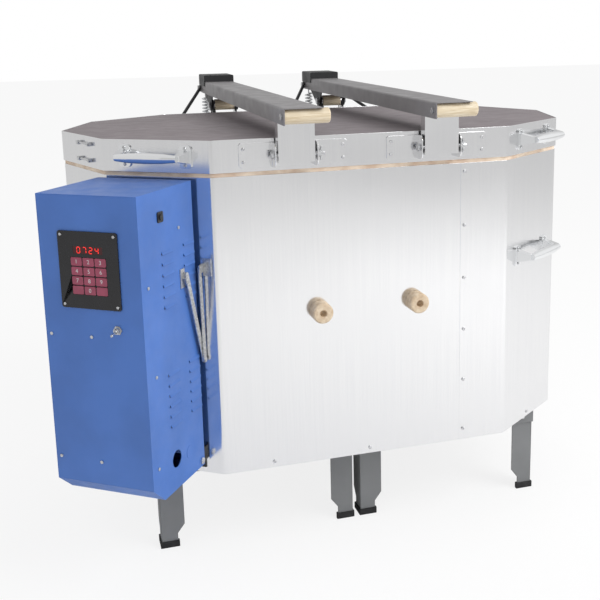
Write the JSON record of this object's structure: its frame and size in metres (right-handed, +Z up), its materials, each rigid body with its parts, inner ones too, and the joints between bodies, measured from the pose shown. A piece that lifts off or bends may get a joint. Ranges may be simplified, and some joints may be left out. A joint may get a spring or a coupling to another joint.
{
  "type": "electric_kiln",
  "caption": "Oval top-loading electric kiln on angle-iron stands, with a spring-balanced lid and a tilting blue control box.",
  "frame": {"origin": "middle of the whole assembly's box on the floor plane", "axes": "+X along the kiln's front to the right, -Y out of the front, +Z up"},
  "size_m": [1.2491, 1.0842, 1.0047],
  "materials": {
    "stainless_band": "bright rolled stainless sheet",
    "zinc_fastener": "zinc plated steel",
    "spring_steel": "zinc plated spring wire",
    "arm_paint": "grey enamel",
    "stand_paint": "grey enamel",
    "black_paint": "black powder coat",
    "lid_top_paint": "matte grey lid sheet",
    "chrome_handle": "polished chrome",
    "firebrick": "soft insulating firebrick",
    "element_wire": "oxidised resistance wire",
    "white_ceramic": "unglazed porcelain",
    "brass_terminal": "turned brass",
    "thermocouple_ceramic": "fired ceramic",
    "tan_ceramic": "tan fireclay",
    "cream_wood": "turned sealed hardwood",
    "rubber_foot": "moulded rubber",
    "box_blue": "semi-gloss blue powder coat",
    "keypad_black": "satin film overlay",
    "key_film": "printed film keys",
    "display_red": "tinted display window",
    "black_plastic": "moulded plastic",
    "transformer_steel": "varnished laminations",
    "board_green": "lacquered circuit board"
  },
  "bodies": {
    "kiln_body": {"jacket": "stainless_band", "body_fasteners": "zinc_fastener", "base_pan": "zinc_fastener", "floor_slab": "firebrick", "brick_course_1": "firebrick", "brick_course_2": "firebrick", "brick_course_3": "firebrick", "brick_course_4": "firebrick", "brick_course_5": "firebrick", "heating_elements": "element_wire", "element_bushes": "white_ceramic", "element_terminals": "brass_terminal", "thermocouple": "thermocouple_ceramic", "stand_left": "stand_paint", "stand_right": "stand_paint", "foot_caps": "rubber_foot", "hinge_posts": "black_paint", "hinge_bolts": "zinc_fastener", "spring_anchors": "black_paint", "box_hinge_brackets": "black_paint", "stay_wall_bracket": "zinc_fastener", "body_handle": "chrome_handle"},
    "lid": {"lid_slab": "firebrick", "lid_top_sheet": "lid_top_paint", "lid_band": "stainless_band", "lid_band_clamps": "zinc_fastener", "lid_handles": "chrome_handle", "lid_front_brackets": "zinc_fastener", "lid_hangers": "zinc_fastener", "arm_bolts": "zinc_fastener", "lid_arm_left": "arm_paint", "lid_arm_right": "arm_paint", "lid_grips": "cream_wood", "arm_saddles": "black_paint", "hinge_braces": "black_paint", "lid_hinge_leaves": "zinc_fastener", "hinge_rollers": "cream_wood", "lid_screws": "zinc_fastener"},
    "control_box": {"box_front": "box_blue", "box_chassis": "box_blue", "box_side_left": "box_blue", "box_side_right": "box_blue", "keypad_bezel": "keypad_black", "keypad_keys": "key_film", "display_window": "display_red", "power_relays": "black_plastic", "control_transformer": "transformer_steel", "power_terminal_block": "black_plastic", "controller_board": "board_green", "toggle_switch_base": "zinc_fastener", "fuse_carrier": "black_plastic", "box_screws": "zinc_fastener", "stay_box_bracket": "zinc_fastener"},
    "spring_left": {"lid_spring_left": "spring_steel"},
    "spring_right": {"lid_spring_right": "spring_steel"},
    "plug_left": {"peephole_plug_left": "tan_ceramic"},
    "plug_right": {"peephole_plug_right": "tan_ceramic"},
    "toggle_lever": {"toggle_switch_lever": "zinc_fastener"},
    "stay_box_link": {"stay_box_link": "zinc_fastener"},
    "stay_wall_link": {"stay_wall_link": "zinc_fastener"}
  },
  "joints": [
    {"name": "lid_hinge", "type": "hinge", "parent": "kiln_body", "child": "lid", "pos_m": [0.02918, 0.38589, 0.925], "axis": [-1, 0, 0], "range_deg": [0, 80]},
    {"name": "box_tilt", "type": "hinge", "parent": "kiln_body", "child": "control_box", "pos_m": [-0.40535, -0.3369, 0.24], "axis": [0.809, -0.5878, 0], "range_deg": [0, 40]},
    {"name": "stay_wall_swing", "type": "hinge", "parent": "kiln_body", "child": "stay_wall_link", "pos_m": [-0.39947, -0.32881, 0.65], "axis": [-0.809, 0.5878, 0], "range_deg": [0, 35.84]},
    {"name": "stay_box_swing", "type": "hinge", "parent": "control_box", "child": "stay_box_link", "pos_m": [-0.42768, -0.36765, 0.648], "axis": [0.809, -0.5878, 0], "range_deg": [0, 23.38]},
    {"name": "toggle_throw", "type": "hinge", "parent": "control_box", "child": "toggle_lever", "pos_m": [-0.50084, -0.51597, 0.578], "axis": [-0.809, 0.5878, 0], "range_deg": [0, 30]},
    {"name": "spring_left_lean", "type": "hinge", "parent": "kiln_body", "child": "spring_left", "pos_m": [-0.15382, 0.52221, 0.56539], "axis": [1, 0, 0], "range_deg": [0, 17.91], "deforming": ["lid_spring_left"]},
    {"name": "spring_right_lean", "type": "hinge", "parent": "kiln_body", "child": "spring_right", "pos_m": [0.15618, 0.52221, 0.56539], "axis": [1, 0, 0], "range_deg": [0, 17.91], "deforming": ["lid_spring_right"]},
    {"name": "plug_left_slide", "type": "slide", "parent": "kiln_body", "child": "plug_left", "axis": [0, -1, 0], "range_m": [0, 0.085]},
    {"name": "plug_right_slide", "type": "slide", "parent": "kiln_body", "child": "plug_right", "axis": [0, -1, 0], "range_m": [0, 0.085]}
  ],
  "couplings": [
    {"joint": "spring_left_lean", "follows": "lid_hinge", "ratio": 0.21764},
    {"joint": "spring_right_lean", "follows": "lid_hinge", "ratio": 0.21764},
    {"joint": "stay_wall_swing", "follows": "box_tilt", "ratio": 0.8836},
    {"joint": "stay_box_swing", "follows": "box_tilt", "ratio": 0.57189}
  ]
}
